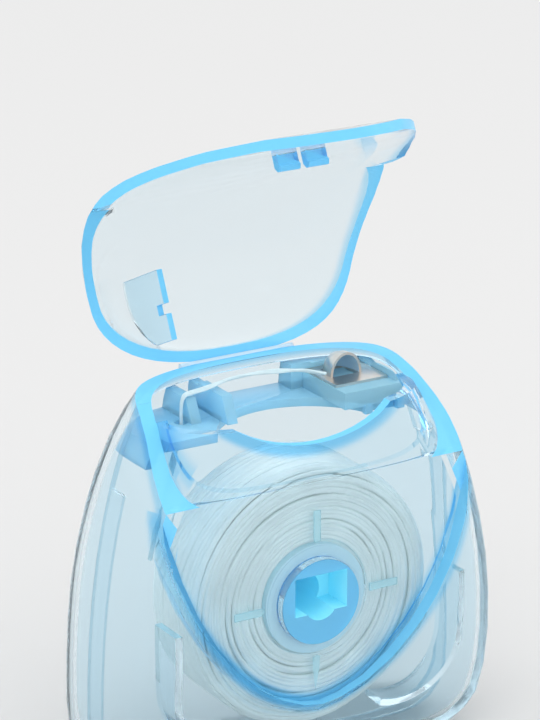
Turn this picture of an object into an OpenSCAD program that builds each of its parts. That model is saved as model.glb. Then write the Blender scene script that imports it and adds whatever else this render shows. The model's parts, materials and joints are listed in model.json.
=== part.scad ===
// Dental floss dispenser: a clear moulded case with a deep flip lid, a floss spool and a steel cutter.
// Origin: middle of the flat base. +X to the right, -Y out of the front, +Z up. Millimetres.
// The lid stands open, as the dispenser is used.

/* [Case] */
// Greatest width of the case
case_w = 55.4; // [52:0.2:60]
// Depth of the case, front to back
case_d = 24.6; // [23.6:0.2:28]
// Height of the hinge line above the base
hinge_h = 52.5; // [50.5:0.5:58]
// Rise of the closed lid above the hinge line
dome_h = 11.6; // [10:0.2:14]
// Height of the widest place above the base
belly_h = 10; // [9:0.5:14]
// Radius of the two bottom corners, seen from the front
foot_r = 8; // [5:0.5:8.5]
// Radius of the edge between the base and the faces
base_edge_r = 2.5; // [1.5:0.1:3]
// How far the front face draws in at the base
front_draw = 5; // [3:0.2:6]
// Height above which the front face is upright
front_draw_h = 22; // [18:0.5:24]
// Wall thickness of the case shells
wall = 1.3; // [1:0.1:1.5]
// Distance from the hinge line forward to the seam between the two shells
seam_from_hinge = 8.4; // [6:0.2:10]
// Width of the tongue that joins the two shells
tongue_w = 3; // [1.5:0.1:4]

/* [Lid] */
// Wall thickness of the lid
lid_wall = 1.3; // [1:0.1:1.5]
// Gap between the edge of the lid and the case
lid_gap = 0.2; // [0.15:0.05:0.3]
// Air between the lid and the front panel behind it
lid_air = 0.7; // [0.5:0.1:1]
// Thickness of the front panel
panel_t = 1.2; // [1:0.1:1.4]
// Half width of the lid where its edge turns down the front
lid_half_w = 23; // [21:0.2:24]
// Length of the lid's front below that turn
lid_drop = 30.6; // [27:0.2:32]
// Opening angle of the lid as shown
open_angle = 115; // [95:1:120]
// Length of the living hinge
hinge_w = 17.2; // [10:0.2:20]
// Thickness of the pinch fin inside the lid
fin_t = 0.8; // [0.6:0.1:1.2]

/* [Spool] */
// Height of the spool centre above the base
spool_h = 25.1; // [24:0.1:27]
// Radius of the full winding
roll_r = 18; // [14:0.2:18.6]
// Width of the winding
roll_w = 12.2; // [8:0.2:12.6]
// Outer radius of the spool core
core_r = 7.5; // [6.9:0.1:8.5]
// Radius of the axle that the spool turns on
axle_r = 5.8; // [5.5:0.05:6]
// Running clearance between the axle and the core
spin_gap = 0.08; // [0.05:0.01:0.1]
// Radius of the bore in the axle
axle_bore_r = 2.5; // [1.5:0.1:2.8]
// Width of the socket in the axle that takes the latch
socket_w = 7.9; // [7.4:0.1:8.2]
// Height of the socket
socket_h = 5.3; // [5:0.1:5.6]
// Depth of the socket
socket_depth = 4.6; // [4.2:0.1:6]
// Diameter of the floss strand
floss_d = 0.6; // [0.5:0.05:0.7]
// Distance from one wound strand to the next
wind_pitch = 1.1; // [1.1:0.05:1.4]

/* [Deck] */
// Distance from the hinge line forward to the front edge of the deck
deck_reach = 14; // [13:0.2:14.6]
// Depth of the deck surface below the hinge line
deck_drop = 4.4; // [4:0.1:5]
// Thickness of the deck
deck_t = 1.2; // [0.9:0.1:1.5]
// Height of the skirt that hangs from the deck inside the case
skirt_h = 3; // [2:0.1:3.5]
// Half width of the open well in the middle of the deck
well_half_w = 6.2; // [5:0.1:6.4]
// Distance from the hinge line forward to the edge of the well
well_from_hinge = 6.6; // [5.6:0.1:7]
// Thickness of the two walls of the floss guide
guide_t = 1.5; // [1:0.1:1.7]
// Distance from the hinge line forward to the end of the inner guide wall
guide_reach = 12; // [10:0.2:12.6]
// How much shorter the outer guide wall is
guide_step = 2.6; // [1:0.2:3]
// Distance of the outer guide wall from the middle
guide_outer_x = 11.5; // [11.2:0.1:11.8]
// Distance of the inner guide wall from the middle
guide_inner_x = 7.6; // [7.2:0.1:7.8]
// Width of the cutter platform
platform_w = 9.6; // [9:0.1:10]
// Distance from the hinge line forward to the back ledge's front edge
ledge_reach = 4.3; // [3.5:0.1:4.8]
// Thickness of the cutter plate
blade_t = 0.35; // [0.25:0.05:0.5]
// Width of the cutter plate
blade_w = 8; // [7.4:0.1:8.2]
// Length of the cutter plate, front to back
blade_l = 7.8; // [7:0.1:8]
// Height of the raised cutting hood
hood_h = 3.1; // [2.4:0.1:3.4]
// Width of the hood
hood_w = 4.8; // [4:0.1:5.2]

/* [Hidden] */

case_blue = [0.55, 0.80, 0.95, 0.45];
deep_blue = [0.35, 0.68, 0.92, 0.75];
floss_white = [0.88, 0.93, 0.90];
steel = [0.72, 0.71, 0.70];
core_pale = [0.80, 0.88, 0.94];

top_h = hinge_h + dome_h;
hinge_y = case_d / 2 - 1.1;
seam_y = hinge_y - seam_from_hinge;
seat_h = hinge_h + 0.2;
side_power = 2.8;
dome_power = 7;
ring_points = 48;
fit_gap = 0.1;
far = 60;
eps = 0.01;

// The front panel lies under the lid, in a recess as deep as the lid and its air.
panel_inset = lid_wall + lid_air;
panel_back = panel_inset + panel_t;
axle_face_y = front_at(spool_h) + panel_inset;
panel_seat_y = axle_face_y + panel_t + 0.2;

// The spool runs with a little play between the front panel and a boss on the rear shell.
end_play = 0.3;
roll_air = 0.4;
core_front_y = panel_seat_y + end_play;
core_l = roll_w + 0.6;
roll_front_y = core_front_y + (core_l - roll_w) / 2;
axle_back_y = core_front_y + core_l + end_play;

// Outline of the closed dispenser: an egg seen from the front, a slim box with a domed top from the side.
function rise(z) = max(0, (z - belly_h) / (top_h - belly_h));
function rounding(z, r) = z < r ? r - sqrt(r * r - (r - z) * (r - z)) : 0;
function half_w(z) = case_w / 2 * pow(1 - rise(z) * rise(z), 1 / side_power) - rounding(z, foot_r);
function half_d(z) = case_d / 2 * sqrt(1 - pow(rise(z), dome_power)) - rounding(z, base_edge_r);
function draw_in(z) = front_draw * pow(max(0, 1 - z / front_draw_h), 2);
function squareness(z) = min(8, max(2.3, 2.7 + 0.2 * (hinge_h - z)));
function front_at(z) = -half_d(z) + draw_in(z);
function power(v, p) = sign(v) * pow(abs(v), p);

// One level of the outline, moved inwards by a wall thickness. The draw share flattens the front face.
function level(z, inset, draw_share) =
    let (p = 2 / squareness(z))
    [for (i = [0:ring_points - 1])
        let (
            a = i * 360 / ring_points,
            x = half_w(z) * power(cos(a), p),
            y = power(sin(a), p) * (half_d(z) - (sin(a) < 0 ? draw_share * draw_in(z) : 0))
        )
        [
            x * (1 - 2 * inset / case_w),
            y * (1 - 2 * inset / case_d),
            inset + z * (top_h - 2 * inset) / top_h
        ]
    ];

foot_levels = [for (a = [0:18:72]) foot_r * (1 - cos(a))];
egg_levels = [for (a = [0:6:90]) belly_h + (top_h - belly_h) * sin(a)];
levels = concat(foot_levels, egg_levels);

module slab(low, high) {
    points = concat(low, high);
    hull()
        polyhedron(points = points, faces = [[for (i = [0:len(points) - 1]) i]]);
}

module case_form(inset, draw_share = 1) {
    for (i = [0:len(levels) - 2])
        slab(level(levels[i], inset, draw_share), level(levels[i + 1], inset, draw_share));
}

module skin(outer_inset, inner_inset) {
    difference() {
        case_form(outer_inset);
        case_form(inner_inset);
    }
}

// Side view of the parting line: level at the hinge, then a parabola down to the front.
parting_start = hinge_y - 4;
parting_curve = 0.041;
parting_steps = 13;
turn_h = hinge_h - 11;
turn_run = sqrt((seat_h - turn_h) / parting_curve);
parting_points = [
    for (i = [0:parting_steps])
        let (run = turn_run * i / parting_steps)
        [parting_start - run, seat_h - parting_curve * run * run]
];

module parting_side() {
    polygon(concat(
        [[-far, -far], [-far, 2 * far], [far, 2 * far], [far, seat_h]],
        parting_points,
        [[parting_start - turn_run, -far]]
    ));
}

// Front view of the lid's lower edge: a blunt point between a V and a U.
lobe_power = 1.7;
lobe_points = [
    for (a = [0:10:180])
        [
            lid_half_w * power(cos(a), 2 / lobe_power),
            turn_h - lid_drop * pow(sin(a), 2 / lobe_power)
        ]
];

module parting_front() {
    polygon(concat([[-far, turn_h], [-far, 2 * far], [far, 2 * far], [far, turn_h]], lobe_points));
}

// The space in front of the parting line, grown outwards (or shrunk, below zero).
module lid_space(grow) {
    intersection() {
        translate([-far, 0, 0])
            rotate([90, 0, 90])
                linear_extrude(2 * far)
                    offset(delta = grow)
                        parting_side();
        translate([0, far, 0])
            rotate([90, 0, 0])
                linear_extrude(2 * far)
                    offset(delta = grow)
                        parting_front();
    }
}

module block(from, to) {
    translate(from)
        cube(to - from);
}

// A round bar along Y, on the spool's axis.
module along_y(r, from_y, to_y) {
    translate([0, to_y, spool_h])
        rotate([90, 0, 0])
            cylinder(r = r, h = to_y - from_y, $fn = 48);
}

module half_space_back(y) {
    block([-far, y, -far], [far, far, 2 * far]);
}

module half_space_front(y) {
    block([-far, -far, -far], [far, y, 2 * far]);
}

// Living hinge: a bead on the case that the edge of the lid wraps round.
bead_r = 0.45;
bead_seat = 0.02;

module hinge_clearance(gap) {
    translate([-hinge_w / 2 - gap, hinge_y, hinge_h])
        rotate([0, 90, 0])
            cylinder(r = bead_r + gap, h = hinge_w + 2 * gap, $fn = 24);
}

tongue_top = turn_h - 0.5;
tongue_wall = wall / 2;

// Ledge just behind the parting line, which the edge of the lid comes down on.
rear_ledge = 1.9;
front_ledge = panel_back + 0.3;

module ledge(depth) {
    difference() {
        intersection() {
            skin(0, depth);
            lid_space(wall);
        }
        lid_space(0);
        panel_opening();
    }
}

// Room that the ledge and the air round it take up.
module ledge_room() {
    difference() {
        lid_space(wall + fit_gap);
        case_form(front_ledge + fit_gap);
    }
}

// What the front panel fills, seen from the front, below the turn of the parting line.
module panel_opening() {
    translate([0, far, 0])
        rotate([90, 0, 0])
            linear_extrude(2 * far)
                polygon(lobe_points);
}

// Room in which the roll turns.
module roll_room() {
    along_y(roll_r + roll_air, roll_front_y - roll_air, far);
}

// Boss on the rear shell: a ring behind the core and a spigot that fills the bore of the axle.
boss_r = core_r - 0.3;
boss_wall = 1.4;
spigot_l = 3;

module rear_boss() {
    intersection() {
        case_form(wall / 2);
        union() {
            difference() {
                along_y(boss_r, axle_back_y, far);
                along_y(boss_r - boss_wall, axle_back_y - eps, far);
            }
            along_y(axle_bore_r - fit_gap, axle_back_y - spigot_l, far);
        }
    }
}

module rear_shell() {
    color(case_blue)
        difference() {
            union() {
                intersection() {
                    skin(0, wall);
                    half_space_back(seam_y);
                }
                intersection() {
                    ledge(rear_ledge);
                    half_space_back(seam_y);
                }
                rear_boss();
                intersection() {
                    skin(tongue_wall + fit_gap / 2, wall);
                    block([-far, seam_y - tongue_w, -far], [far, seam_y + eps, tongue_top]);
                }
            }
            lid_space(0);
            hinge_clearance(bead_seat);
        }
}

// Stiffening ribs round the axle, and two guard walls in the lower corners.
rib_t = 1;
rib_reach = 12.4;
rib_start = core_r + 0.6;
guard_x = 22;
guard_r = 9;
guard_deep = 5;
guard_foot = 3;
guard_air = 0.5;

module panel_ribs() {
    intersection() {
        panel_form(panel_back - panel_t / 2);
        translate([0, 0, spool_h])
            for (a = [0:90:270])
                rotate([0, a, 0])
                    block([rib_start, -far, -rib_t / 2], [rib_reach, panel_seat_y + eps, rib_t / 2]);
    }
}

module guard_outline(r) {
    translate([guard_x - guard_r, spool_h - guard_r])
        circle(r = r, $fn = 40);
}

module guard_walls() {
    for (side = [0, 1])
        mirror([side, 0, 0])
            intersection() {
                case_form(wall / 2);
                translate([0, front_at(spool_h) + panel_inset + guard_deep, 0])
                    rotate([90, 0, 0])
                        linear_extrude(far)
                            difference() {
                                union() {
                                    guard_outline(guard_r);
                                    translate([guard_x - guard_r, spool_h - guard_r])
                                        square([guard_r, guard_r]);
                                }
                                guard_outline(guard_r - rib_t);
                                translate([guard_x - guard_r, spool_h - guard_r])
                                    square([guard_r - rib_t, guard_r + eps]);
                                translate([-far, spool_h - guard_r])
                                    square([far + guard_x - guard_r, far]);
                                translate([-far, -far])
                                    square([far + guard_x - guard_r - guard_foot, 2 * far]);
                            }
                translate([0, far, 0])
                    rotate([90, 0, 0])
                        linear_extrude(2 * far)
                            difference() {
                                square(4 * far, center = true);
                                offset(delta = -guard_air)
                                    parting_front();
                            }
            }
}

// The front panel ends in a shallow dip, so that a finger reaches the floss.
dip_r = 22;
panel_draw = 0.35;
panel_end_y = seam_y - tongue_w - 2 * fit_gap;
dip_drop = 5.5;
dip_rise = 3.2;

module panel_form(inset) {
    case_form(inset, panel_draw);
}

module front_panel() {
    difference() {
        union() {
            intersection() {
                difference() {
                    panel_form(panel_inset);
                    panel_form(panel_back);
                }
                case_form(lid_wall + fit_gap);
                lid_space(wall / 2);
                half_space_front(panel_end_y);
            }
            along_y(core_r, axle_face_y, panel_seat_y);
        }
        translate([0, 0, hinge_h - dip_drop + dip_r])
            rotate([90, 0, 0])
                cylinder(r = dip_r, h = far, $fn = 72);
        block([-far, -far, hinge_h - dip_drop + dip_rise], [far, far, far + hinge_h]);
        along_y(axle_r + fit_gap, -far, far);
    }
}

module front_shell() {
    color(case_blue)
        union() {
            difference() {
                intersection() {
                    skin(0, wall);
                    half_space_front(seam_y);
                }
                lid_space(0);
                intersection() {
                    case_form(tongue_wall);
                    block([-far, seam_y - tongue_w - fit_gap, -far], [far, far, tongue_top + fit_gap]);
                }
            }
            difference() {
                ledge(front_ledge);
                half_space_back(panel_end_y);
                roll_room();
            }
            intersection() {
                ledge(rear_ledge);
                block([-far, -far, tongue_top + 2 * fit_gap], [far, seam_y, far + hinge_h]);
            }
            front_panel();
            panel_ribs();
            guard_walls();
        }
}

// The deck drops into the case under its rim: a plate with a skirt in its two back corners.
deck_z = hinge_h - deck_drop;
deck_inset = wall + fit_gap;
skirt_t = 1;
skirt_x = hinge_w / 2 + 1;
deck_front_y = hinge_y - deck_reach;
well_r = 12;
eyelet_r = 0.9;
strand_y = 3.4;
strand_x = -12.9;

module deck_plan() {
    difference() {
        translate([-far, deck_front_y])
            square([2 * far, far]);
        translate([0, hinge_y - well_from_hinge - well_r])
            circle(r = well_r, $fn = 72);
        translate([-well_half_w, -far])
            square([2 * well_half_w, far + hinge_y - well_from_hinge - well_r / 2]);
        translate([strand_x, strand_y])
            circle(r = eyelet_r, $fn = 32);
    }
}

module top_deck() {
    color(deep_blue)
        difference() {
            intersection() {
                case_form(deck_inset);
                union() {
                    translate([0, 0, deck_z - deck_t])
                        linear_extrude(deck_t)
                            deck_plan();
                    difference() {
                        for (side = [0, 1])
                            mirror([side, 0, 0])
                                block(
                                    [skirt_x, deck_front_y, deck_z - skirt_h],
                                    [far, far, deck_z - deck_t + eps]
                                );
                        case_form(deck_inset + skirt_t);
                    }
                }
            }
            ledge_room();
        }
}

// Floss guide: two walls with a channel between them that the fin of the lid closes on.
guide_back_y = hinge_y - 1.6;
guide_chamfer = 0.6;
guide_slope = 1.6;
guide_front_y = hinge_y - guide_reach;
guide_outer_top = hinge_h - 1.3;
guide_inner_top = hinge_h - 0.9;

module guide_wall(x, front_y, top_z) {
    translate([x - guide_t / 2, 0, 0])
        rotate([90, 0, 90])
            linear_extrude(guide_t)
                polygon([
                    [guide_back_y, deck_z],
                    [guide_back_y, top_z - guide_chamfer],
                    [guide_back_y - guide_chamfer, top_z],
                    [front_y + guide_slope, top_z],
                    [front_y, deck_z]
                ]);
}

module floss_guide() {
    color(deep_blue)
        difference() {
            intersection() {
                case_form(deck_inset + fit_gap);
                union() {
                    guide_wall(-guide_outer_x, guide_front_y + guide_step, guide_outer_top);
                    guide_wall(-guide_inner_x, guide_front_y, guide_inner_top);
                }
            }
            ledge_room();
        }
}

// Cutter platform: a block with a back ledge, a side rail and two small legs, and the steel cutter on it.
platform_right = case_w / 2 - 10.5;
platform_left = platform_right - platform_w;
rail_w = 1.2;
platform_top = hinge_h - 2.1;
ledge_top = hinge_h - 1;
platform_front_y = deck_front_y - 0.9;
ledge_y = hinge_y - ledge_reach;
ledge_overhang = 1.8;
leg_w = 1.1;
leg_drop = 1.2;
leg_from_left = 3.2;
leg_from_right = 1.6;

module platform_blocks() {
    block([platform_left, platform_front_y, deck_z], [platform_right, ledge_y + eps, platform_top]);
    block([platform_left - ledge_overhang, ledge_y, deck_z], [platform_right, far, ledge_top]);
    block([platform_right - rail_w, deck_front_y, platform_top - eps], [platform_right, ledge_y + eps, ledge_top]);
    for (x = [platform_left + leg_from_left, platform_right - leg_from_right])
        block([x, platform_front_y, deck_z - leg_drop], [x + leg_w, deck_front_y - fit_gap, deck_z + eps]);
}

module cutter_platform() {
    color(deep_blue)
        difference() {
            intersection() {
                case_form(deck_inset + fit_gap);
                platform_blocks();
            }
            ledge_room();
        }
}

// Cutter: a plate with a hood pressed up from it, open to the front, and the slot that the hood leaves.
blade_side_gap = 0.2;
blade_back_gap = 0.3;
blade_x = platform_left + blade_side_gap + blade_w / 2;
blade_y = ledge_y - blade_back_gap - blade_l / 2;
blade_top = platform_top + blade_t;
hood_l = 4.4;
hood_front_y = blade_y - 0.9;
hood_x = blade_x - 0.6;
slot_rim = 0.6;
slot_back = 0.8;

module arch(scale_by, shrink) {
    rotate([90, 0, 0])
        linear_extrude(eps)
            intersection() {
                scale([(hood_w / 2 - shrink) * scale_by, (hood_h - shrink) * scale_by])
                    circle(r = 1, $fn = 32);
                translate([-far, 0])
                    square(2 * far);
            }
}

module hood_form(shrink) {
    hull()
        for (a = [0:18:90])
            translate([hood_x, hood_front_y + (hood_l - shrink) * sin(a), blade_top])
                arch(max(cos(a), 0.02), shrink);
}

module cutter_blade() {
    color(steel)
        union() {
            difference() {
                translate([blade_x, blade_y, platform_top])
                    linear_extrude(blade_t)
                        square([blade_w, blade_l], center = true);
                block(
                    [hood_x - hood_w / 2 + slot_rim, hood_front_y, platform_top - eps],
                    [hood_x + hood_w / 2 - slot_rim, hood_front_y + hood_l - slot_back, blade_top + blade_t]
                );
            }
            difference() {
                hood_form(0);
                translate([0, -2 * eps, -eps])
                    hood_form(blade_t);
            }
        }
}

// Axle: a plug in the front panel with the latch socket in its face. The spool core turns on it.
socket_floor = spool_h - 1.4;

module spool_axle() {
    color(deep_blue)
        difference() {
            translate([0, axle_back_y, spool_h])
                rotate([90, 0, 0])
                    difference() {
                        cylinder(r = axle_r, h = axle_back_y - axle_face_y);
                        translate([0, 0, -eps])
                            cylinder(r = axle_bore_r, h = axle_back_y - axle_face_y + 2 * eps);
                    }
            block(
                [-socket_w / 2, axle_face_y - eps, socket_floor],
                [socket_w / 2, axle_face_y + socket_depth, socket_floor + socket_h]
            );
        }
}

module hinge_web() {
    color(case_blue)
        translate([-hinge_w / 2, hinge_y, hinge_h])
            rotate([0, 90, 0])
                cylinder(r = bead_r, h = hinge_w);
}

// Latch: two prongs with a small barb, which spring into the socket of the axle.
latch_z = spool_h - 0.1;
latch_reach = 1.5;
latch_split = 1.2;
latch_w = socket_w - 0.7;
latch_half_t = 0.6;
barb = 0.3;

module latch_prongs() {
    root_y = front_at(latch_z) + lid_wall / 2;
    tip_y = axle_face_y + latch_reach;
    prong_w = (latch_w - latch_split) / 2;
    for (x = [-latch_w / 2, latch_split / 2])
        translate([x, 0, latch_z])
            rotate([90, 0, 90])
                linear_extrude(prong_w)
                    polygon([
                        [root_y, latch_half_t],
                        [tip_y - latch_half_t, latch_half_t],
                        [tip_y, 0],
                        [tip_y, -latch_half_t],
                        [tip_y - 2 * barb, -latch_half_t - barb],
                        [tip_y - 3 * barb, -latch_half_t],
                        [root_y, -latch_half_t]
                    ]);
}

// Pinch fin: it drops into the channel of the floss guide and keeps the floss end in place.
fin_x = -(guide_outer_x + guide_inner_x) / 2;
fin_back_y = hinge_y - 3.6;
fin_front_y = hinge_y - 13;
fin_bottom = hinge_h - 2;
notch_half = 0.7;
notch_top = hinge_h + 0.1;

module pinch_fin() {
    difference() {
        intersection() {
            case_form(lid_wall / 2);
            block([fin_x - fin_t / 2, fin_front_y, fin_bottom], [fin_x + fin_t / 2, fin_back_y, far + hinge_h]);
        }
        block(
            [fin_x - fin_t, strand_y - notch_half, fin_bottom - eps],
            [fin_x + fin_t, strand_y + notch_half, notch_top]
        );
    }
}

module opened() {
    translate([0, hinge_y, hinge_h])
        rotate([-open_angle, 0, 0])
            translate([0, -hinge_y, -hinge_h])
                children();
}

module lid() {
    color(case_blue)
        opened()
            difference() {
                union() {
                    intersection() {
                        skin(0, lid_wall);
                        lid_space(-lid_gap);
                    }
                    latch_prongs();
                    pinch_fin();
                }
                hinge_clearance(fit_gap);
            }
}

// Spool: a tube that turns on the axle.
module tube_y(outer_r, inner_r, from_y, to_y) {
    translate([0, to_y, spool_h])
        rotate([90, 0, 0])
            difference() {
                cylinder(r = outer_r, h = to_y - from_y);
                translate([0, 0, -eps])
                    cylinder(r = inner_r, h = to_y - from_y + 2 * eps);
            }
}

module spool_core() {
    color(core_pale)
        tube_y(core_r, axle_r + spin_gap, core_front_y, core_front_y + core_l);
}

// Winding: one strand that spirals out over the front of the roll, rounds its edge and runs on to the back.
turn_rings = 24;
tube_sides = 6;
wind_r = roll_r - floss_d / 2;
wind_start_r = core_r + 2 * floss_d;
wind_front_y = roll_front_y + floss_d / 2;
wind_back_y = roll_front_y + roll_w - floss_d;
edge_r = 1.6;
face_run = wind_r - edge_r - wind_start_r;
edge_run = PI / 2 * edge_r;
side_run = wind_back_y - wind_front_y - edge_r;
turns = floor((face_run + edge_run + side_run) / wind_pitch);
bed_gap = 0.15;
pack_r = wind_r * cos(180 / turn_rings) - floss_d / 2 - bed_gap;
pack_front_y = wind_front_y + floss_d / 2 + bed_gap;
leave_angle = 164;

// Radius and depth of the strand after a run s along the roll's outline.
function wind_at(s) =
    s < face_run ? [wind_start_r + s, wind_front_y]
    : s < face_run + edge_run ?
        let (a = (s - face_run) / edge_r * 180 / PI)
        [wind_r - edge_r + edge_r * sin(a), wind_front_y + edge_r * (1 - cos(a))]
    : [wind_r, wind_front_y + edge_r + s - face_run - edge_run];

function round_spool(r, y, a) = [r * cos(a), y, spool_h + r * sin(a)];

wind_route = [
    for (i = [0:turns * turn_rings])
        let (at = wind_at(i * wind_pitch / turn_rings))
        round_spool(at[0], at[1], leave_angle + (turns * turn_rings - i) * 360 / turn_rings)
];
tail_turn = 5;
wind_first_angle = leave_angle + turns * 360;
wind_tail_angle = leave_angle - tail_turn;
wind_tail_y = wind_at(turns * wind_pitch)[1];
wind_path = concat(
    [
        round_spool(core_r, wind_front_y, wind_first_angle + tail_turn),
        round_spool(core_r + floss_d, wind_front_y, wind_first_angle + tail_turn)
    ],
    wind_route,
    [
        round_spool(pack_r + floss_d, wind_tail_y, wind_tail_angle),
        round_spool(pack_r, wind_tail_y, wind_tail_angle)
    ]
);

function unit(v) = v / norm(v);

function heading(path, i) =
    i == 0 ? unit(path[1] - path[0])
    : i == len(path) - 1 ? unit(path[i] - path[i - 1])
    : unit(unit(path[i + 1] - path[i]) + unit(path[i] - path[i - 1]));

// One unbroken tube along a path, drawn as triangles, with its rings square to the path.
module swept_tube(path, d, sides, upright) {
    last = len(path) - 1;
    points = [
        for (i = [0:last])
            let (
                along = heading(path, i),
                across = unit(cross(along, upright)),
                up = cross(across, along)
            )
            for (k = [0:sides - 1])
                path[i] + d / 2 * (cos(k * 360 / sides) * across + sin(k * 360 / sides) * up)
    ];
    walls = [
        for (i = [0:last - 1])
            for (k = [0:sides - 1])
                let (n = (k + 1) % sides, a = i * sides, b = a + sides)
                for (face = [[a + k, b + k, b + n], [a + k, b + n, a + n]])
                    face
    ];
    caps = [
        for (k = [1:sides - 2])
            for (face = [[0, k, k + 1], [last * sides, last * sides + k + 1, last * sides + k]])
                face
    ];
    polyhedron(points = points, faces = concat(walls, caps));
}

function least(path, apart) =
    min([
        for (i = [0:len(path) - 1 - apart])
            min([for (j = [i + apart:len(path) - 1]) norm(path[j] - path[i])])
    ]);

module floss_winding() {
    echo(turns = turns, least_gap = least(wind_path, turn_rings / 2) - floss_d);
    color(floss_white)
        swept_tube(wind_path, floss_d, tube_sides, [0, 1, 0]);
}

pack_edge_r = edge_r - (wind_r - pack_r);

module floss_pack() {
    color(floss_white)
        translate([0, 0, spool_h])
            rotate([-90, 0, 0])
                rotate_extrude()
                    polygon(concat(
                        [[core_r, roll_front_y + roll_w], [core_r, pack_front_y]],
                        [
                            for (a = [0:15:90])
                                [
                                    pack_r - pack_edge_r + pack_edge_r * sin(a),
                                    pack_front_y + pack_edge_r * (1 - cos(a))
                                ]
                        ],
                        [[pack_r, roll_front_y + roll_w]]
                    ));
}

// Free end of the floss: up from the roll, through the eyelet, over the guide and across to the cutter.
strand_path = [
    [-17.9, 3.4, 30], [-17.2, 3.4, 32.5], [-16.2, 3.4, 36], [-15.2, 3.4, 39.3], [-14.2, 3.4, 42.7],
    [-13.3, 3.4, 45.8], [-12.9, 3.4, 47.5], [-12.9, 3.4, 49.5], [-12.8, 3.4, 50.8], [-12.4, 3.4, 51.6],
    [-11.8, 3.4, 51.8], [-10.8, 3.4, 51.9], [-9, 3.4, 52.1], [-6, 3.5, 52.6], [-4, 3.3, 52.8],
    [-1.5, 3, 52.9], [2, 3.2, 52.5], [5, 3, 52.1], [7, 2.6, 51.6], [8.3, 2.2, 51.3]
];
strand_sides = 8;

module floss_strand() {
    color(floss_white)
        swept_tube(strand_path, floss_d, strand_sides, [0, 1, 0]);
}

rear_shell();
front_shell();
top_deck();
floss_guide();
cutter_platform();
cutter_blade();
spool_axle();
hinge_web();
lid();
spool_core();
floss_pack();
floss_winding();
floss_strand();
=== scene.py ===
# %% [markdown]
# This lesson dresses a small dispenser for dental floss: a clear blue moulded case with a deep flip lid,
# a roll of floss turning on an axle inside it, and a little steel cutter on its deck.
# The measured model comes first. Everything made here sits on it, in metres, with +Z up.

# %% Load the measured model
import bpy
import bmesh
import json
import math
import random
from mathutils import Matrix, Vector


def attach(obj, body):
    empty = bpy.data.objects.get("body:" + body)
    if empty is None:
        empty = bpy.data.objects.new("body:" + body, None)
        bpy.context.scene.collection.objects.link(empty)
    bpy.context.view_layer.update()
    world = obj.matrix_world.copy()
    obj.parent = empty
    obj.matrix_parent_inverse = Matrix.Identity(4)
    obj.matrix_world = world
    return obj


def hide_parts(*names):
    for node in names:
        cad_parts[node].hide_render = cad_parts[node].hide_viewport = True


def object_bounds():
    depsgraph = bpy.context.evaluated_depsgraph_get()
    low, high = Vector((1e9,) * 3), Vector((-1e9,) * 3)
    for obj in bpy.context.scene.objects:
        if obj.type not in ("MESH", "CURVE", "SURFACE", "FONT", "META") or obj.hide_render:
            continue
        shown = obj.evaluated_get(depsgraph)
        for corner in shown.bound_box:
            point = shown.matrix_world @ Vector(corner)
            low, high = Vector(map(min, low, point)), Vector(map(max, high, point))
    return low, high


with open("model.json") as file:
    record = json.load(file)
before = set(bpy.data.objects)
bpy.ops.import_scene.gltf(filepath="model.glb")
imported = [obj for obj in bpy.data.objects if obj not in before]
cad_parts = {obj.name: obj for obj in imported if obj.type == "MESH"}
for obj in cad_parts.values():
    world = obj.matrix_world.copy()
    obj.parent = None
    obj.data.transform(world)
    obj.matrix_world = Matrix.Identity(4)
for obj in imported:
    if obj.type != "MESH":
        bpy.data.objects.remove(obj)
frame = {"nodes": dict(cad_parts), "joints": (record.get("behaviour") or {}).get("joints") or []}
model_low, model_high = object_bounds()
MM = 0.001
nodes = frame["nodes"]
joints = {joint["name"]: joint for joint in frame["joints"]}
hinge = Vector(joints["lid_hinge"]["pos_m"])
spool = Vector(joints["spool_spin"]["pos_m"])
print("model box, mm:", [round(v / MM, 1) for v in (*model_low, *model_high)])

# %% [markdown]
# The camera stands where the photographer's stood: a long lens, a little above the lid's hinge and to the
# left of the front. Its place is worked out from the hinge, which is the clearest landmark in the picture.

# %% Camera
LOOK_TURN = math.radians(30.99)
LOOK_DOWN = math.radians(18.98)
LOOK_DISTANCE = 442.7 * MM
FRAME_SHIFT_RIGHT = -4.41 * MM
FRAME_SHIFT_UP = 0.48 * MM
LENS = 167.3
SENSOR_WIDTH = 36
NEAR_CLIP = 0.02
FAR_CLIP = 20

back = Vector((
    -math.sin(LOOK_TURN) * math.cos(LOOK_DOWN),
    -math.cos(LOOK_TURN) * math.cos(LOOK_DOWN),
    math.sin(LOOK_DOWN),
))
right = Vector((math.cos(LOOK_TURN), -math.sin(LOOK_TURN), 0))
up = back.cross(right)
camera_data = bpy.data.cameras.new("camera")
camera_data.lens = LENS
camera_data.sensor_width = SENSOR_WIDTH
camera_data.clip_start = NEAR_CLIP
camera_data.clip_end = FAR_CLIP
camera = bpy.data.objects.new("camera", camera_data)
bpy.context.scene.collection.objects.link(camera)
camera.rotation_mode = "QUATERNION"
camera.rotation_quaternion = Matrix((right, up, back)).transposed().to_quaternion()
camera.location = hinge + back * LOOK_DISTANCE - right * FRAME_SHIFT_RIGHT - up * FRAME_SHIFT_UP
bpy.context.scene.camera = camera
print("camera at, mm:", [round(v / MM) for v in camera.location])

# %% [markdown]
# The stage is a plain pale table that runs out of sight. It lies a hair below the base, because a clear
# base in the very same plane as the table renders dark. A matt grey is enough for its finish.

# %% Table
FLOOR_SIZE = 6
FLOOR_COLOUR = (0.66, 0.66, 0.66)
FLOOR_ROUGHNESS = 0.9
FLOOR_GAP = 0.03 * MM


def make_material(name, colour, roughness):
    """A plain finish, whose shader can then be given more."""
    material = bpy.data.materials.new(name)
    material.use_nodes = True
    tree = material.node_tree
    shader = tree.nodes["Principled BSDF"]
    shader.inputs["Base Color"].default_value = (*colour, 1)
    shader.inputs["Roughness"].default_value = roughness
    return material, tree, shader


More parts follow.
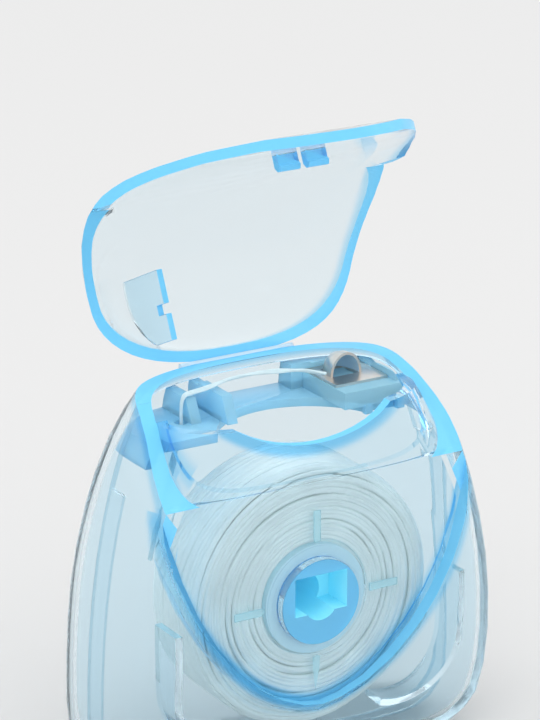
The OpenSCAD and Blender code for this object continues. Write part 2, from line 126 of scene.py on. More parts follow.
table_finish, _, table_shader = make_material("pale_table", FLOOR_COLOUR, FLOOR_ROUGHNESS)
table_shader.inputs["Specular IOR Level"].default_value = 0
grid = bmesh.new()
bmesh.ops.create_grid(grid, x_segments=2, y_segments=2, size=FLOOR_SIZE / 2)
bmesh.ops.translate(grid, vec=(0, 0, -FLOOR_GAP), verts=grid.verts)
floor_mesh = bpy.data.meshes.new("floor")
grid.to_mesh(floor_mesh)
grid.free()
floor_mesh.materials.append(table_finish)
floor = bpy.data.objects.new("floor", floor_mesh)
bpy.context.scene.collection.objects.link(floor)
print("table, m:", FLOOR_SIZE)

# %% [markdown]
# Clear plastic shows what is round it more than it shows itself, so most of the light comes from an even
# white sky. Light has to pass many walls here, and a path that is cut off too early ends in black, so the
# bounces are raised. Two small soft lamps only add the highlights that tell the eye where the walls bend.

# %% Light
SKY_STRENGTH = 1.25
BOUNCES = 24
DIFFUSE_BOUNCES = 12
LAMPS = (
    ("soft_top", (-0.25, -0.25, 0.60), (0.16, 0.16), 0.30),
    ("soft_side", (0.45, -0.10, 0.25), (0.10, 0.20), 0.12),
)


def make_lamp(name, place, target, size, power):
    """A soft box that looks at the target."""
    data = bpy.data.lights.new(name, "AREA")
    data.shape = "RECTANGLE"
    data.size, data.size_y = size
    data.energy = power
    lamp = bpy.data.objects.new(name, data)
    lamp.location = place
    lamp.rotation_mode = "QUATERNION"
    lamp.rotation_quaternion = (Vector(target) - Vector(place)).to_track_quat("-Z", "Y")
    bpy.context.scene.collection.objects.link(lamp)


world = bpy.data.worlds.new("studio_sky")
bpy.context.scene.world = world
world.use_nodes = True
sky = world.node_tree.nodes["Background"]
sky.inputs["Color"].default_value = (1, 1, 1, 1)
sky.inputs["Strength"].default_value = SKY_STRENGTH
bpy.context.scene.view_settings.view_transform = "Standard"
bpy.context.scene.cycles.max_bounces = BOUNCES
bpy.context.scene.cycles.diffuse_bounces = DIFFUSE_BOUNCES
bpy.context.scene.cycles.glossy_bounces = BOUNCES
bpy.context.scene.cycles.transmission_bounces = BOUNCES
bpy.context.scene.cycles.transparent_max_bounces = BOUNCES
middle = (model_low + model_high) / 2
for name, place, size, power in LAMPS:
    make_lamp(name, place, middle, size, power)

# %% [markdown]
# The lid and the case part along one line: a parabola seen from the side, and a blunt lobe seen from the
# front. The moulding is thickest in colour along that line, so both the shading and the choice of faces
# need the distance to it. The line is worked out for the closed lid, with the sizes of the measured model.

# %% The parting line
SEAT_H = 52.7 * MM
TURN_H = 41.5 * MM
PARTING_START = 7.2 * MM
PARTING_CURVE = 0.041 / MM
TURN_RUN = math.sqrt((SEAT_H - TURN_H) / PARTING_CURVE)
TURN_Y = PARTING_START - TURN_RUN
LOBE_HALF_W = 23 * MM
LOBE_DROP = 30.6 * MM
LOBE_POWER = 1.7
OPEN_ANGLE = math.radians(115)
PROBE = 0.05 * MM
AXES = (Vector((1, 0, 0)), Vector((0, 1, 0)), Vector((0, 0, 1)))
closing = Matrix.Rotation(OPEN_ANGLE, 3, "X")


def closed(point):
    """Where a point of the open lid goes when the lid is shut."""
    return hinge + closing @ (point - hinge)


def parting_distance(point):
    """Rough distance to the line, carried straight through the walls: below zero on the lid's side."""
    run = max(0, PARTING_START - point.y)
    slope = 2 * PARTING_CURVE * run
    side = (SEAT_H - PARTING_CURVE * run ** 2 - point.z) / math.sqrt(1 + slope ** 2)
    across = abs(point.x) / LOBE_HALF_W
    down = max(0, TURN_H - point.z) / LOBE_DROP
    rise = across ** LOBE_POWER + down ** LOBE_POWER - 1
    steep = math.hypot(
        across ** (LOBE_POWER - 1) / LOBE_HALF_W,
        down ** (LOBE_POWER - 1) / LOBE_DROP,
    )
    lobe = rise / (LOBE_POWER * steep + 1)
    return max(min(side, point.y - TURN_Y), min(TURN_H - point.z, lobe))


def parting_direction(point):
    """The direction in which that distance grows."""
    return Vector([
        parting_distance(point + axis * PROBE) - parting_distance(point - axis * PROBE)
        for axis in AXES
    ]).normalized()


print("the line turns at, mm:", round(TURN_Y / MM, 2), round(TURN_H / MM, 2))

# %% [markdown]
# The case is a clear plastic with a trace of blue dye, waved a little by the mould. True plastic bends light
# strongly, and so many walls behind each other would then look dark and broken. A softer bend keeps them
# as light as the real ones look, and a faint cloud in them catches the light of the sky.

# %% Clear plastic
SOFT_IOR = 1.15
RIPPLE_SCALE = 90
RIPPLE_HEIGHT = 0.2 * MM
RIPPLE_DETAIL = 2


def add_ripple(tree, shader, scale, strength):
    """The slight waviness of a moulded wall, as a bump."""
    place = tree.nodes.new("ShaderNodeTexCoord")
    noise = tree.nodes.new("ShaderNodeTexNoise")
    noise.inputs["Scale"].default_value = scale
    noise.inputs["Detail"].default_value = RIPPLE_DETAIL
    bump = tree.nodes.new("ShaderNodeBump")
    bump.inputs["Strength"].default_value = strength
    bump.inputs["Distance"].default_value = RIPPLE_HEIGHT
    tree.links.new(place.outputs["Object"], noise.inputs["Vector"])
    tree.links.new(noise.outputs["Fac"], bump.inputs["Height"])
    tree.links.new(bump.outputs["Normal"], shader.inputs["Normal"])


def clear_plastic(name, colour, clear, roughness, ripple):
    """Clear dyed plastic. What isn't clear in it is a soft cloud of its own colour."""
    material, tree, shader = make_material(name, colour, roughness)
    shader.inputs["IOR"].default_value = SOFT_IOR
    shader.inputs["Transmission Weight"].default_value = clear
    add_ripple(tree, shader, RIPPLE_SCALE, ripple)
    return material, tree, shader


print("the clear plastic bends light by", SOFT_IOR)

# %% [markdown]
# The dye only shows where light has gone a long way through the wall: along a rim, or round a bend. So the
# wall's colour deepens towards the parting line. The shader works out the same distance as above, step by
# step, in nodes that read the place on the object.

# %% Distance to the line, in the shader
SIDE_X = 20 * MM
FRONT_Y = -7 * MM
DIP_R = 22 * MM
DIP_Z = 69 * MM
DIP_BAND = 0.7 * MM


def calc(tree, operation, *values):
    """One step of arithmetic in a shader, on sockets or plain numbers."""
    node = tree.nodes.new("ShaderNodeMath")
    node.operation = operation
    for socket, value in zip(node.inputs, values):
        if isinstance(value, (int, float)):
            socket.default_value = value
        else:
            tree.links.new(value, socket)
    return node.outputs[0]


def closed_place(tree, opened):
    """The place on the object, or for the open lid the place that it has when shut."""
    place = tree.nodes.new("ShaderNodeTexCoord").outputs["Object"]
    if opened:
        turn = tree.nodes.new("ShaderNodeVectorRotate")
        turn.rotation_type = "X_AXIS"
        turn.inputs["Center"].default_value = hinge
        turn.inputs["Angle"].default_value = OPEN_ANGLE
        tree.links.new(place, turn.inputs["Vector"])
        place = turn.outputs["Vector"]
    parts = tree.nodes.new("ShaderNodeSeparateXYZ")
    tree.links.new(place, parts.inputs["Vector"])
    return parts.outputs


def side_nodes(tree, y, z):
    """Distance to the parabola along the sides."""
    run = calc(tree, "MAXIMUM", 0, calc(tree, "SUBTRACT", PARTING_START, y))
    sag = calc(tree, "MULTIPLY", PARTING_CURVE, calc(tree, "POWER", run, 2))
    slope = calc(tree, "MULTIPLY", 2 * PARTING_CURVE, run)
    stretch = calc(tree, "SQRT", calc(tree, "MULTIPLY_ADD", slope, slope, 1))
    drop = calc(tree, "SUBTRACT", SEAT_H, z)
    return calc(tree, "DIVIDE", calc(tree, "SUBTRACT", drop, sag), stretch)


def lobe_nodes(tree, x, below):
    """Distance to the lobe on the front."""
    across = calc(tree, "DIVIDE", calc(tree, "ABSOLUTE", x), LOBE_HALF_W)
    down = calc(tree, "DIVIDE", calc(tree, "MAXIMUM", 0, below), LOBE_DROP)
    across_part = calc(tree, "POWER", across, LOBE_POWER)
    down_part = calc(tree, "POWER", down, LOBE_POWER)
    rise = calc(tree, "SUBTRACT", calc(tree, "ADD", across_part, down_part), 1)
    steep_x = calc(tree, "DIVIDE", calc(tree, "POWER", across, LOBE_POWER - 1), LOBE_HALF_W)
    steep_z = calc(tree, "DIVIDE", calc(tree, "POWER", down, LOBE_POWER - 1), LOBE_DROP)
    squares = calc(tree, "MULTIPLY_ADD", steep_x, steep_x, calc(tree, "POWER", steep_z, 2))
    steep = calc(tree, "MULTIPLY_ADD", LOBE_POWER, calc(tree, "SQRT", squares), 1)
    return calc(tree, "DIVIDE", rise, steep)


def dip_nodes(tree, x, z):
    """Distance to a band along the dipped edge of the front panel."""
    up_square = calc(tree, "POWER", calc(tree, "SUBTRACT", z, DIP_Z), 2)
    from_dip = calc(tree, "SQRT", calc(tree, "ADD", calc(tree, "POWER", x, 2), up_square))
    off_edge = calc(tree, "ABSOLUTE", calc(tree, "SUBTRACT", from_dip, DIP_R))
    return calc(tree, "SUBTRACT", off_edge, DIP_BAND)


def parting_nodes(tree, opened):
    """Distance to whichever stretch of the line is on this part of the shell."""
    x, y, z = closed_place(tree, opened)
    side = calc(tree, "ABSOLUTE", side_nodes(tree, y, z))
    below = calc(tree, "SUBTRACT", TURN_H, z)
    lobe = calc(tree, "ABSOLUTE", lobe_nodes(tree, x, below))
    inwards = calc(tree, "MAXIMUM", 0, calc(tree, "SUBTRACT", SIDE_X, calc(tree, "ABSOLUTE", x)))
    in_front = calc(tree, "LESS_THAN", y, FRONT_Y)
    upper = calc(tree, "MULTIPLY_ADD", inwards, in_front, side)
    behind = calc(tree, "MAXIMUM", 0, calc(tree, "SUBTRACT", y, FRONT_Y))
    lower = calc(tree, "ADD", lobe, behind)
    is_upper = calc(tree, "LESS_THAN", below, 0)
    distance = calc(tree, "MULTIPLY_ADD", is_upper, calc(tree, "SUBTRACT", upper, lower), lower)
    if opened:
        return distance
    return calc(tree, "MINIMUM", distance, calc(tree, "ADD", dip_nodes(tree, x, z), behind))


print("the dipped edge is lowest at, mm:", round((DIP_Z - DIP_R) / MM, 1))

# %% [markdown]
# The walls are nearly white, and blue only near the line. The faces of the rims glow sky blue, because the
# light that is caught in a wall comes out there, so they are a plastic of their own that is hardly clear.
# So are the ribs, the drop-in deck and the plug in the middle, each with its own share of cloud.

# %% The plastics
CASE_COLOUR = (0.855, 0.955, 1.0)
LID_COLOUR = (0.885, 0.965, 1.0)
RIM_COLOUR = (0.20, 0.66, 1.0)
WALL_CLEAR = 0.96
GLOW_NEAR = 0.2 * MM
GLOW_FAR = 1.6 * MM
GLOW_SHARE = 0.85
# Colour and strength of the glow painted into the socket, which is no lamp.
PAINTED_GLOW_COLOUR = (0.15, 0.60, 1.0, 1)
PAINTED_GLOW_STRENGTH = 0.04


def wall_plastic(name, colour, opened):
    """Wall plastic whose colour deepens towards the parting line."""
    material, tree, shader = clear_plastic(name, colour, WALL_CLEAR, roughness=0.05, ripple=0.04)
    fade = tree.nodes.new("ShaderNodeMapRange")
    fade.interpolation_type = "SMOOTHERSTEP"
    fade.inputs["From Min"].default_value = GLOW_NEAR
    fade.inputs["From Max"].default_value = GLOW_FAR
    fade.inputs["To Min"].default_value = GLOW_SHARE
    fade.inputs["To Max"].default_value = 0
    tree.links.new(parting_nodes(tree, opened), fade.inputs["Value"])
    mix = tree.nodes.new("ShaderNodeMix")
    mix.data_type = "RGBA"
    share, wall_side, rim_side = mix.inputs["Factor"], mix.inputs[6], mix.inputs[7]
    tree.links.new(fade.outputs["Result"], share)
    wall_side.default_value = (*colour, 1)
    rim_side.default_value = (*RIM_COLOUR, 1)
    tree.links.new(mix.outputs[2], shader.inputs["Base Color"])
    return material


def small_plastic(name, colour, clear, roughness):
    """Plastic for the small pieces and picked faces."""
    return clear_plastic(name, colour, clear, roughness, ripple=0.04)


case_plastic = wall_plastic("clear_case", CASE_COLOUR, opened=False)
lid_plastic = wall_plastic("clear_lid", LID_COLOUR, opened=True)
rim_plastic = small_plastic("rim_glow", RIM_COLOUR, clear=0.15, roughness=0.25)[0]
sheet_plastic = small_plastic("pale_sheet", (0.74, 0.91, 0.99), clear=0.85, roughness=0.08)[0]
insert_plastic = small_plastic("clear_insert", (0.42, 0.80, 1.0), clear=0.38, roughness=0.10)[0]
axle_plastic = small_plastic("deep_blue", (0.22, 0.68, 1.0), clear=0.35, roughness=0.12)[0]
# Painted light: the socket's inside is a lighter, hardly clear blue with a faint glow, for the light that the
# floss round it scatters in.
socket_painted_plastic, _, socket_glow_shader = small_plastic("socket_painted_glow", (0.35, 0.90, 1.0), clear=0.05, roughness=0.12)
socket_glow_shader.inputs["Emission Color"].default_value = PAINTED_GLOW_COLOUR
socket_glow_shader.inputs["Emission Strength"].default_value = PAINTED_GLOW_STRENGTH
rib_plastic = small_plastic("rib_blue", (0.62, 0.92, 1.0), clear=0.40, roughness=0.10)[0]
hinge_plastic = small_plastic("bent_hinge", (0.72, 0.88, 0.98), clear=0.40, roughness=0.35)[0]
print("plastics:", [material.name for material in bpy.data.materials if material != table_finish])

# %% [markdown]
# The measured shells are made of flat triangles, which a clear glossy wall would show as a cut gem. Each is
# copied, its doubled corners are merged, and its faces are shaded smooth except across real edges. The
# drop-in pieces also get a small round on their edges, as every moulding has.

# %% Smooth copies
EDGE_ANGLE = math.radians(32)
FLAT_ANGLE = math.radians(1)
ROUND_ANGLE = math.radians(50)
INSERT_ROUND = 0.14 * MM
MERGE_REACH = 2e-6
SEAM_Y = 2.8 * MM
SEAM_GAP = 0.04 * MM
SEAM_REACH = 0.01 * MM


def soften_edges(work, width):
    """Flat facets become whole faces, and their sharp edges get a small round."""
    bmesh.ops.dissolve_limit(work, angle_limit=FLAT_ANGLE, verts=work.verts, edges=work.edges)
    sharp = [edge for edge in work.edges if edge.calc_face_angle(0) > ROUND_ANGLE]
    bmesh.ops.bevel(
        work, geom=sharp, offset=width, segments=2, profile=0.5,
        affect="EDGES", material=-1, clamp_overlap=True,
    )


def part_seam(work):
    """The front shell's seam draws back a hair, as two faces in one place would render dark."""
    at_seam = [vert for vert in work.verts if abs(vert.co.y - SEAM_Y) < SEAM_REACH]
    bmesh.ops.translate(work, verts=at_seam, vec=(0, -SEAM_GAP, 0))


def smooth_copy(node, materials, body, pick=None, edge_round=0):
    """A measured piece, copied with smooth shading and a plastic for each face."""
    mesh = nodes[node].data.copy()
    mesh.name = node + "_smooth"
    work = bmesh.new()
    work.from_mesh(mesh)
    bmesh.ops.remove_doubles(work, verts=work.verts, dist=MERGE_REACH)
    if node == "front_shell":
        part_seam(work)
    if edge_round:
        soften_edges(work, edge_round)
    for face in work.faces:
        face.smooth = True
        face.material_index = pick(face.calc_center_median(), face.normal) if pick else 0
    for edge in work.edges:
        edge.smooth = edge.calc_face_angle(0) < EDGE_ANGLE
    mesh.materials.clear()
    for material in materials:
        mesh.materials.append(material)
    work.to_mesh(mesh)
    work.free()
    piece = bpy.data.objects.new(node + "_smooth", mesh)
    bpy.context.scene.collection.objects.link(piece)
    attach(piece, body)
    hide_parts(node)
    counts = [sum(face.material_index == i for face in mesh.polygons) for i in range(len(materials))]
    print(node, "faces of each finish:", counts)
    return piece


# %% [markdown]
# A rule picks the faces that get another plastic, from where a face's middle is and which way it looks.
# A rim face lies on the parting line and looks along the direction in which the distance grows. Only the
# wall's own rim counts, and not what stands deeper in the case, so the depth under the outer surface is
# needed too. That surface is an egg whose levels are superellipses, and halving steps find the depth.

# %% Faces on the line
BELLY_H = 10 * MM
TOP_H = 64.1 * MM
HALF_W = 27.7 * MM
HALF_D = 12.3 * MM
SIDE_POWER = 2
BELLY_POWER = 2.8
DOME_POWER = 7
TOP_SHARE = 0.999
LEVEL_POWERS = (2.3, 8)
HINGE_POWER = 2.7
POWER_PER_MM = 0.2
DEEPEST = 0.9 * HALF_D
HALVINGS = 16
LINE_ALIGN = 0.93
FACES_FRONT = 0.9
SIDE_RIM_X = 21 * MM


def depth_in_case(point):
    """How deep a point lies under the outer surface."""
    rise = min(TOP_SHARE, max(0, (point.z - BELLY_H) / (TOP_H - BELLY_H)))
    half_w = HALF_W * (1 - rise ** SIDE_POWER) ** (1 / BELLY_POWER)
    half_d = HALF_D * math.sqrt(1 - rise ** DOME_POWER)
    least, most = LEVEL_POWERS
    power = min(most, max(least, HINGE_POWER + POWER_PER_MM * (hinge.z - point.z) / MM))
    shallow, deep = 0, DEEPEST
    for _ in range(HALVINGS):
        depth = (shallow + deep) / 2
        across = abs(point.x) / (half_w * (1 - depth / HALF_W))
        along = abs(point.y) / (half_d * (1 - depth / HALF_D))
        if across ** power + along ** power < 1:
            shallow = depth
        else:
            deep = depth
    return shallow


def on_parting(point, normal, reach):
    """Whether a face is part of the rim on either side of the parting line."""
    if abs(parting_distance(point)) > reach:
        return False
    if abs(parting_direction(point).dot(normal)) < LINE_ALIGN:
        return False
    return abs(normal.y) < FACES_FRONT or abs(point.x) > SIDE_RIM_X


print("egg, mm:", round(2 * HALF_W / MM, 1), "wide,", round(2 * HALF_D / MM, 1), "deep")

# %% [markdown]
# On the case, the rim and the dipped edge of the front panel glow. The tongue at the seam is a paler sheet,
# and the four ribs round the axle and the tops of the two guard walls show as light blue bars.

# %% Faces of the case
CASE_RIM_REACH = 0.35 * MM
PANEL_BACK = 3.15 * MM
SQUARE_ON = 0.95
TONGUE = (SEAM_Y - 3.3 * MM, SEAM_Y + 0.2 * MM)
DIP_REACH = 0.05 * MM
RIB_HALF_T = 0.51 * MM
RIB_ENDS = (8 * MM, 12.6 * MM)
RIB_FRONT_Y = -9.09 * MM
INSIDE_Y = 9.3 * MM
GUARD_ENDS = (10 * MM, 30 * MM)
GUARD_X = 12 * MM


def on_dip(point, normal):
    """Whether a face is the dipped top edge of the front panel."""
    from_dip = math.hypot(point.x, point.z - DIP_Z)
    out_of_dip = Vector((point.x, 0, point.z - DIP_Z)) / from_dip
    on_edge = abs(from_dip - DIP_R) < DIP_REACH and abs(out_of_dip.dot(normal)) > SQUARE_ON
    return on_edge and point.y < FRONT_Y


def on_rib(point):
    """Whether a face belongs to one of the four ribs round the axle."""
    from_axle = math.hypot(point.x, point.z - spool.z)
    in_line = min(abs(point.x), abs(point.z - spool.z)) < RIB_HALF_T
    inside = point.y > RIB_FRONT_Y and abs(point.y) < INSIDE_Y
    return in_line and inside and RIB_ENDS[0] < from_axle < RIB_ENDS[1]


def pick_case(point, normal):
    """0 wall, 1 rim, 2 sheet, 3 rib."""
    if on_parting(point, normal, CASE_RIM_REACH):
        return 1 if depth_in_case(point) < PANEL_BACK else 0
    if abs(normal.y) > SQUARE_ON and TONGUE[0] < point.y < TONGUE[1]:
        return 2
    if on_dip(point, normal):
        return 1
    on_guard = GUARD_ENDS[0] < point.z < GUARD_ENDS[1] and abs(point.x) > GUARD_X
    if on_rib(point) or (on_guard and normal.z > FACES_FRONT):
        return 3
    return 0


shell_plastics = (case_plastic, rim_plastic, sheet_plastic, rib_plastic)
smooth_copy("rear_shell", shell_plastics[:3], "case", pick_case)
smooth_copy("front_shell", shell_plastics, "case", pick_case)

# %% [markdown]
# On the lid, the rim glows in the same way, and so do the split latch and the edges of the pinch fin, which
# stand in from the wall. The fin's flat sides are a paler sheet. The lid is modelled open, so each face is
# first turned back to where it is when the lid is shut.

# %% Faces of the lid
LID_RIM_REACH = 0.55 * MM
OFF_WALL = 1.8 * MM
LATCH_HALF_W = 4 * MM
LATCH_HALF_H = 2 * MM
FIN_X = -9.55 * MM
FIN_HALF_T = 0.41 * MM
FIN_TOP = 61 * MM
FIN_LOW = 54 * MM


def pick_lid(point, normal):
    """0 wall, 1 rim, 2 sheet."""
    place = closed(point)
    direction = closing @ normal
    if on_parting(place, direction, LID_RIM_REACH):
        return 1
    if depth_in_case(place) < OFF_WALL:
        return 0
    if abs(place.x) < LATCH_HALF_W and abs(place.z - spool.z) < LATCH_HALF_H:
        return 1
    if abs(place.x - FIN_X) < FIN_HALF_T and place.z < FIN_TOP:
        if abs(direction.x) > FACES_FRONT:
            return 2
        return 1 if place.z < FIN_LOW or abs(direction.y) > FACES_FRONT else 0
    return 0


smooth_copy("lid", (lid_plastic, rim_plastic, sheet_plastic), "lid", pick_lid)

# %% [markdown]
# The living hinge is the thin strip between lid and case, frosted by bending. The deck, the guide and the
# cutter's platform drop in from above and are a deeper blue. The plug that the spool turns on is the
# deepest, and the inside of its socket gets painted light: a lighter blue and a trace of glow, standing in
# for the light that it catches.

# %% Small mouldings
SOCKET_R = 5.5 * MM
PLUG_FACE_Y = -10.25 * MM


def pick_axle(point, normal):
    """0 face and body, 1 the inside of the socket and the bore, which gets painted light."""
    from_axle = math.hypot(point.x, point.z - spool.z)
    return 1 if from_axle < SOCKET_R and point.y > PLUG_FACE_Y else 0


smooth_copy("hinge_web", (hinge_plastic,), "case")
for insert in ("top_deck", "floss_guide", "cutter_platform"):
    smooth_copy(insert, (insert_plastic,), "case", edge_round=INSERT_ROUND)
smooth_copy("spool_axle", (axle_plastic, socket_painted_plastic), "case", pick_axle)

# %% [markdown]
# The floss is white and waxed, so it is soft and bright with a dull sheen, and its wax clouds it in patches.
# A noise that reads the place on the object gives those. The loose end is darker, as it is seen singly.

# %% Floss finish
WOUND_COLOUR = (0.95, 1.0, 0.985)
LOOSE_COLOUR = (0.64, 0.80, 0.85)
WAX_DETAIL = 4
WAX_FROM = 0.3
WAX_TO = 0.7
WAX_ROUGHNESS = 0.55
WAX_SHEEN = 0.3


def floss_material(name, colour, scale, dark):
    """Waxed floss whose colour falls to a share of itself in patches."""
    material, tree, shader = make_material(name, colour, WAX_ROUGHNESS)
    place = tree.nodes.new("ShaderNodeTexCoord")
    noise = tree.nodes.new("ShaderNodeTexNoise")
    noise.inputs["Scale"].default_value = scale
    noise.inputs["Detail"].default_value = WAX_DETAIL
    ramp = tree.nodes.new("ShaderNodeValToRGB")
    low, high = ramp.color_ramp.elements
    low.position = WAX_FROM
    low.color = (*[dark * c for c in colour], 1)
    high.position = WAX_TO
    high.color = (*colour, 1)
    tree.links.new(place.outputs["Object"], noise.inputs["Vector"])
    tree.links.new(noise.outputs["Fac"], ramp.inputs["Fac"])
    tree.links.new(ramp.outputs["Color"], shader.inputs["Base Color"])
    shader.inputs["Sheen Weight"].default_value = WAX_SHEEN
    return material


wound_finish = floss_material("waxed_floss", WOUND_COLOUR, scale=160, dark=0.88)
loose_finish = floss_material("loose_floss", LOOSE_COLOUR, scale=900, dark=0.90)
print("floss finishes:", wound_finish.name, loose_finish.name)

# %% [markdown]
# A strand is easiest to make as a curve with a round section, which is then turned into a mesh. The same
# helper makes the roll and the loose end.

# %% Strands


def sweep(name, runs, radius, rings, material, body, node):
    """Round strands along runs of points, as one mesh that takes a measured piece's place."""
    curve = bpy.data.curves.new(name, "CURVE")
    curve.dimensions = "3D"
    curve.bevel_depth = radius
    curve.bevel_resolution = rings
    curve.use_fill_caps = True
    for points in runs:
        spline = curve.splines.new("POLY")
        spline.points.add(len(points) - 1)
        for place, point in zip(spline.points, points):
            place.co = (*point, 1)
    source = bpy.data.objects.new(name + "_curve", curve)
    mesh = bpy.data.meshes.new_from_object(source)
    mesh.name = name
    bpy.data.objects.remove(source)
    for face in mesh.polygons:
        face.use_smooth = True
    mesh.materials.append(material)
    piece = bpy.data.objects.new(name, mesh)
    bpy.context.scene.collection.objects.link(piece)
    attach(piece, body)
    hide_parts(node)
    print(name, "faces:", len(mesh.polygons))


# %% [markdown]
# On the roll the floss lies in fine turns side by side, wound a little unevenly: they drift and cross, which
# gives the face its swirl. One strand starts at the core, runs out over the front, round the edge, along
# the side and in over the back. The run along the roll's outline gives its radius and its depth.

# %% Outline of the roll
ROLL_R = 18 * MM
ROLL_FRONT_Y = -8.3 * MM
ROLL_W = 12.2 * MM
ROLL_EDGE_R = 1.5 * MM
BACK_EDGE_R = 1.2 * MM
WIND_START_R = 8.0 * MM
WIND_STRAND_R = 0.34 * MM
OUTER_R = ROLL_R - WIND_STRAND_R
BACK_Y = ROLL_W - 2 * WIND_STRAND_R
FACE_RUN = OUTER_R - ROLL_EDGE_R - WIND_START_R
EDGE_RUN = math.pi / 2 * ROLL_EDGE_R
SIDE_RUN = BACK_Y - ROLL_EDGE_R - BACK_EDGE_R
BACK_EDGE_RUN = math.pi / 2 * BACK_EDGE_R
BACK_RUN = OUTER_R - BACK_EDGE_R - WIND_START_R


def roll_outline(run, dip):
    """Radius and depth of the strand at a length along the outline of the roll, sunk in by dip."""
    if run < FACE_RUN:
        return WIND_START_R + run, dip
    run -= FACE_RUN
    if run < EDGE_RUN:
        bend = run / ROLL_EDGE_R
        depth = ROLL_EDGE_R - (ROLL_EDGE_R - dip) * math.cos(bend)
        return OUTER_R - ROLL_EDGE_R + (ROLL_EDGE_R - dip) * math.sin(bend), depth
    run -= EDGE_RUN
    if run < SIDE_RUN:
        return OUTER_R - dip, ROLL_EDGE_R + run
    run -= SIDE_RUN
    if run < BACK_EDGE_RUN:
        bend = run / BACK_EDGE_R
        depth = BACK_Y - BACK_EDGE_R + (BACK_EDGE_R - dip) * math.sin(bend)
        return OUTER_R - BACK_EDGE_R + (BACK_EDGE_R - dip) * math.cos(bend), depth
    return OUTER_R - BACK_EDGE_R - (run - BACK_EDGE_RUN), BACK_Y - dip


print("roll, mm:", round(2 * ROLL_R / MM, 1), "across,", round(ROLL_W / MM, 1), "wide")

# %% [markdown]
# The unevenness is a sum of slow waves with random lengths. It moves the strand along the outline, so some
# turns bunch and others gape, and a quicker wave lets it sink in and rise. Below the turns lies the
# measured roll, drawn in at the back to make room for them.

# %% The roll
WIND_PITCH = 0.36 * MM
TURN_POINTS = 60
SEED = 7
WAVES = 9
WAVE_RATES = (0.31, 2.7)
WAVE_STARTS = (0, 6.28)
WAVE_SIZES = (0.4, 1)
DRIFT = 1.3 * MM
SETTLE = 2 * MM
SINK = 0.11 * MM
SINK_RATE = 3.7
BACK_REACH = 0.1 * MM


def wound_route():
    """One strand over the whole outside of the roll, with a little drift."""
    draw = random.Random(SEED)
    waves = [
        (draw.uniform(*WAVE_RATES), draw.uniform(*WAVE_STARTS), draw.uniform(*WAVE_SIZES))
        for _ in range(WAVES)
    ]
    total = FACE_RUN + EDGE_RUN + SIDE_RUN + BACK_EDGE_RUN + BACK_RUN
    steps = int(total / WIND_PITCH * TURN_POINTS)
    route = []
    for i in range(steps + 1):
        run = total * i / steps
        angle = math.tau * i / TURN_POINTS
        swing = sum(size * math.sin(rate * angle + start) for rate, start, size in waves) / WAVES
        ease = min(1, run / SETTLE, (total - run) / SETTLE)
        dip = SINK * (1 + math.sin(SINK_RATE * angle + 2 * swing)) / 2
        r, depth = roll_outline(run + DRIFT * swing * ease, dip)
        route.append((
            spool.x + r * math.cos(-angle),
            ROLL_FRONT_Y + WIND_STRAND_R + depth,
            spool.z + r * math.sin(-angle),
        ))
    return route


sweep("wound_floss", [wound_route()], WIND_STRAND_R, 1, wound_finish, "spool", "floss_winding")
pack = smooth_copy("floss_pack", (wound_finish,), "spool")
for vertex in pack.data.vertices:
    if vertex.co.y > ROLL_FRONT_Y + ROLL_W - BACK_REACH:
        vertex.co.y -= 2 * WIND_STRAND_R

# %% [markdown]
# The free strand is a flat bundle of filaments with a slow twist. It comes up through the eyelet in the deck,
# turns over the guide and runs across to the cutter. Its route is the one in the measured model, and a
# smooth curve through the same points takes the corners out of it.

# %% Route of the free strand
STRAND_ROUTE = [
    (-17.9, 3.4, 30), (-17.2, 3.4, 32.5), (-16.2, 3.4, 36), (-15.2, 3.4, 39.3), (-14.2, 3.4, 42.7),
    (-13.3, 3.4, 45.8), (-12.9, 3.4, 47.5), (-12.9, 3.4, 49.5), (-12.8, 3.4, 50.8), (-12.4, 3.4, 51.6),
    (-11.8, 3.4, 51.8), (-10.8, 3.4, 51.9), (-9, 3.4, 52.1), (-6, 3.5, 52.6), (-4, 3.3, 52.8),
    (-1.5, 3, 52.9), (2, 3.2, 52.5), (5, 3, 52.1), (7, 2.6, 51.6), (8.3, 2.2, 51.3),
]
ROUTE_STEPS = 6


def smooth_route(points, steps):
    """Points along a Catmull-Rom curve through the given ones."""
    ends = [points[0] * 2 - points[1], *points, points[-1] * 2 - points[-2]]
    route = []
    for a, b, c, d in zip(ends, ends[1:], ends[2:], ends[3:]):
        for i in range(steps):
            t = i / steps
            bend = (2 * a - 5 * b + 4 * c - d) * t ** 2 + (3 * b - a - 3 * c + d) * t ** 3
            route.append((2 * b + (c - a) * t + bend) / 2)
    return route + [points[-1]]


route = smooth_route([Vector(point) * MM for point in STRAND_ROUTE], ROUTE_STEPS)
print("points on the route:", len(route))

# %% [markdown]
# Six filaments lie round a flat oval, which is turned to and fro along the route while they wind round it.
# That makes the strand wide in one place and narrow in the next, as real floss is.

# %% Free strand
FILAMENTS = 6
FILAMENT_R = 0.13 * MM
BUNDLE_WIDE = 0.24 * MM
BUNDLE_THICK = 0.09 * MM
TWIST_LENGTH = 11 * MM
SWAY = 0.7
LAY = 2.4

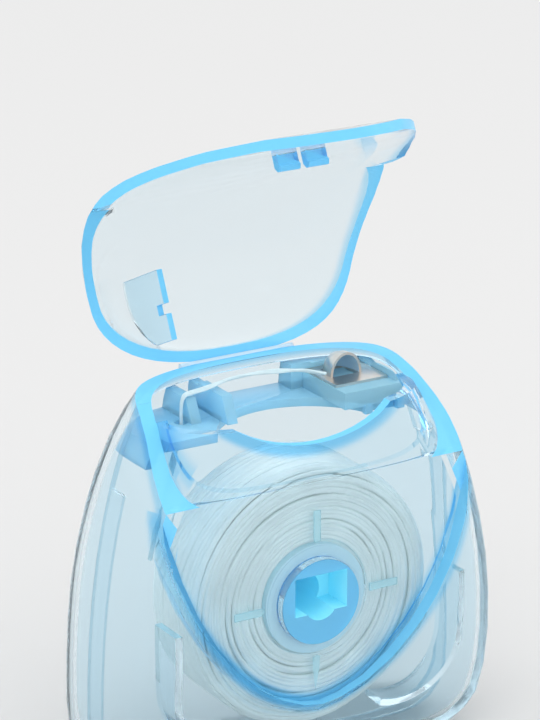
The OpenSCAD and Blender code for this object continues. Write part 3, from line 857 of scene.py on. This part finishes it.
runs = [[] for _ in range(FILAMENTS)]
gone = 0
for i, point in enumerate(route):
    before = route[max(i - 1, 0)]
    ahead = (route[min(i + 1, len(route) - 1)] - before).normalized()
    across = ahead.cross(Vector((0, 1, 0))).normalized()
    wide = across.cross(ahead)
    gone += (point - before).length
    twist = SWAY * math.sin(math.tau * gone / TWIST_LENGTH)
    for k, run in enumerate(runs):
        turn = math.tau * (k + 0.5) / FILAMENTS + LAY * gone / TWIST_LENGTH
        u, v = BUNDLE_WIDE * math.cos(turn), BUNDLE_THICK * math.sin(turn)
        along_wide = u * math.cos(twist) - v * math.sin(twist)
        along_across = u * math.sin(twist) + v * math.cos(twist)
        run.append(point + wide * along_wide + across * along_across)
sweep("floss_end", runs, FILAMENT_R, 2, loose_finish, "case", "floss_strand")
print("free strand, mm:", round(gone / MM, 1))

# %% [markdown]
# The core is a pale satin tube with a slightly uneven surface, so a fine bump of noise is all that it needs.

# %% Core
CORE_COLOUR = (0.70, 0.92, 1.0)
CORE_GRAIN = 300
core_finish, core_tree, core_shader = make_material("pale_core", CORE_COLOUR, roughness=0.35)
add_ripple(core_tree, core_shader, CORE_GRAIN, strength=0.1)
smooth_copy("spool_core", (core_finish,), "spool")

# %% [markdown]
# The cutter is thin bright sheet, pressed and cut, so its colour is what it reflects. The hollow under its
# hood has only blue plastic to reflect, so its faces get a painted reflection: a bluer, lighter and duller
# steel.

# %% Cutter
HOOD_X = 11.2 * MM
PLATE_TOP = 50.75 * MM
STEEL_COLOUR = (0.63, 0.59, 0.55)
# Painted reflection: a bluer, lighter steel for the hood's hollow, which has only blue plastic to reflect.
HOOD_REFLECTION_COLOUR = (0.60, 0.78, 0.90)
HOOD_REFLECTION_METALLIC = 0.5
STEEL_GRAIN = 900
steel, steel_tree, steel_shader = make_material("stamped_steel", STEEL_COLOUR, roughness=0.28)
steel_shader.inputs["Metallic"].default_value = 1
add_ripple(steel_tree, steel_shader, STEEL_GRAIN, strength=0.15)
# The hollow's finish, with the painted reflection in its colour.
hood_painted_reflection, hood_reflection_tree, hood_reflection_shader = make_material("steel_painted_hood_reflection", HOOD_REFLECTION_COLOUR, roughness=0.45)
hood_reflection_shader.inputs["Metallic"].default_value = HOOD_REFLECTION_METALLIC
add_ripple(hood_reflection_tree, hood_reflection_shader, STEEL_GRAIN, strength=0.1)


def pick_steel(point, normal):
    """0 outside, 1 the hollow of the hood, which gets the painted reflection."""
    inwards = Vector((HOOD_X - point.x, 0, PLATE_TOP - point.z))
    in_hollow = point.z > PLATE_TOP and inwards.dot(normal) > 0
    return 1 if in_hollow and abs(normal.y) < FACES_FRONT else 0


smooth_copy("cutter_blade", (steel, hood_painted_reflection), "case", pick_steel)
